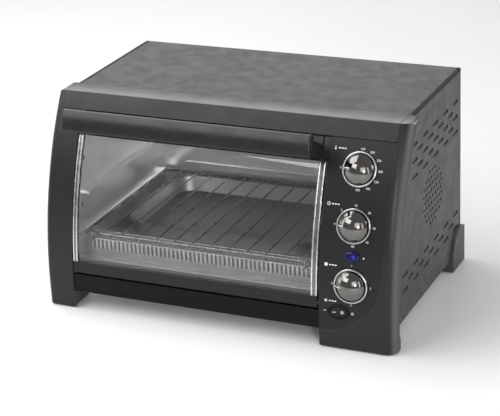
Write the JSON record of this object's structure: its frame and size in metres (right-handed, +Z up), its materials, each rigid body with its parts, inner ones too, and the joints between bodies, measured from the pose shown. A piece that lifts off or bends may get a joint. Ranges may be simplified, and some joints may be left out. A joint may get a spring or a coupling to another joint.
{
  "type": "toaster oven",
  "caption": "Countertop toaster oven with a curved front, drop-down glass door, dial controls, wire rack, pan, crumb tray and side convection fan.",
  "frame": {"origin": "on the counter, under the centre of the bounding box", "axes": "+X to the user's right along the front, -Y towards the user, +Z up"},
  "size_m": [0.483, 0.3226, 0.2756],
  "materials": {
    "moulded_plastic": "satin charcoal, fine grain",
    "panel_plastic": "satin dark charcoal",
    "dark_plastic": "matte near-black",
    "handle_plastic": "satin charcoal with polished edges",
    "rocker_plastic": "gloss black",
    "painted_sheet": "charcoal powder coat with a fine grain",
    "bare_sheet": "plain galvanised",
    "liner_steel": "bright aluminised",
    "element_sheath": "heat-darkened sheath",
    "ceramic_bush": "unglazed",
    "motor_steel": "laminated steel",
    "fan_aluminium": "stamped",
    "polished_steel": "turned",
    "dark_chrome": "smoked chrome",
    "bright_ring": "satin silver",
    "blue_lens": "translucent blue",
    "lamp_body": "clear blue",
    "door_glass": "clear tempered",
    "dark_trim": "satin black",
    "bright_trim": "bright",
    "rack_wire": "nickel plated",
    "pan_coating": "dark non-stick",
    "pad_rubber": "soft",
    "screw_steel": "zinc"
  },
  "bodies": {
    "oven": {"back_panel": "painted_sheet", "back_screws": "screw_steel", "base_plate": "bare_sheet", "bottom_rail": "dark_plastic", "control_panel": "panel_plastic", "cord_gland": "dark_plastic", "element_guard": "liner_steel", "element_insulators": "ceramic_bush", "fan_cover": "liner_steel", "fan_motor": "motor_steel", "foot_pads": "pad_rubber", "front_sill": "liner_steel", "header": "moulded_plastic", "indicator_lamp": "lamp_body", "indicator_lens": "blue_lens", "knob_rings": "bright_ring", "left_tower": "moulded_plastic", "liner_back": "liner_steel", "liner_left": "liner_steel", "liner_right": "liner_steel", "liner_screws": "screw_steel", "liner_top": "liner_steel", "lower_elements": "element_sheath", "motor_bracket": "bare_sheet", "panel_nuts": "polished_steel", "rack_supports": "liner_steel", "rear_feet": "dark_plastic", "right_tower": "moulded_plastic", "rocker_housing": "dark_plastic", "side_panel_left": "painted_sheet", "side_panel_right": "painted_sheet", "thermostat": "bare_sheet", "timer_bell": "polished_steel", "timer_mechanism": "bare_sheet", "toast_control": "bare_sheet", "top_panel": "painted_sheet", "tray_runners": "bare_sheet", "upper_elements": "element_sheath"},
    "door": {"door_glass": "door_glass", "door_top_frame": "dark_trim", "door_bottom_frame": "dark_trim", "door_side_trims": "bright_trim", "door_hinge_pins": "polished_steel", "handle": "handle_plastic", "handle_posts": "handle_plastic"},
    "rack": {"rack": "rack_wire", "rack_hooks": "rack_wire"},
    "pan": {"pan": "pan_coating"},
    "crumb_tray": {"crumb_tray": "liner_steel", "tray_pull": "painted_sheet"},
    "temperature_dial": {"temperature_knob": "dark_chrome", "temperature_shaft": "polished_steel"},
    "timer_dial": {"timer_knob": "dark_chrome", "timer_shaft": "polished_steel"},
    "toast_dial": {"toast_knob": "dark_chrome", "toast_shaft": "polished_steel"},
    "rocker": {"rocker": "rocker_plastic"},
    "fan": {"fan_shaft": "polished_steel", "convection_fan": "fan_aluminium", "cooling_fan": "fan_aluminium"}
  },
  "joints": [
    {"name": "door_hinge", "type": "hinge", "parent": "oven", "child": "door", "pos_m": [-0.031, -0.1415, 0.056], "axis": [1, 0, 0], "range_deg": [0, 90]},
    {"name": "rack_slide", "type": "slide", "parent": "oven", "child": "rack", "axis": [0, -1, 0], "range_m": [0, 0.06]},
    {"name": "pan_slide", "type": "slide", "parent": "oven", "child": "pan", "axis": [0, -1, 0], "range_m": [0, 0.04]},
    {"name": "tray_slide", "type": "slide", "parent": "oven", "child": "crumb_tray", "axis": [0, 1, 0], "range_m": [0, 0.22]},
    {"name": "temperature_turn", "type": "hinge", "parent": "oven", "child": "temperature_dial", "pos_m": [0.1835, -0.10693, 0.223], "axis": [0, 0.9048, -0.4257], "range_deg": [0, 290]},
    {"name": "timer_turn", "type": "hinge", "parent": "oven", "child": "timer_dial", "pos_m": [0.1835, -0.13127, 0.159], "axis": [0, 0.9591, -0.283], "range_deg": [0, 300]},
    {"name": "toast_turn", "type": "hinge", "parent": "oven", "child": "toast_dial", "pos_m": [0.1835, -0.14629, 0.0865], "axis": [0, 0.9926, -0.1213], "range_deg": [0, 270]},
    {"name": "rocker_tilt", "type": "hinge", "parent": "oven", "child": "rocker", "pos_m": [0.1675, -0.14877, 0.05048], "axis": [0, -0.041, -0.9992], "range_deg": [0, 16]},
    {"name": "fan_spin", "type": "hinge", "parent": "oven", "child": "fan", "pos_m": [0.175, 0.0316, 0.1426], "axis": [1, 0, 0], "continuous": true}
  ],
  "couplings": [
    {"joint": "rack_slide", "follows": "door_hinge", "m_per_rad": 0.038}
  ]
}
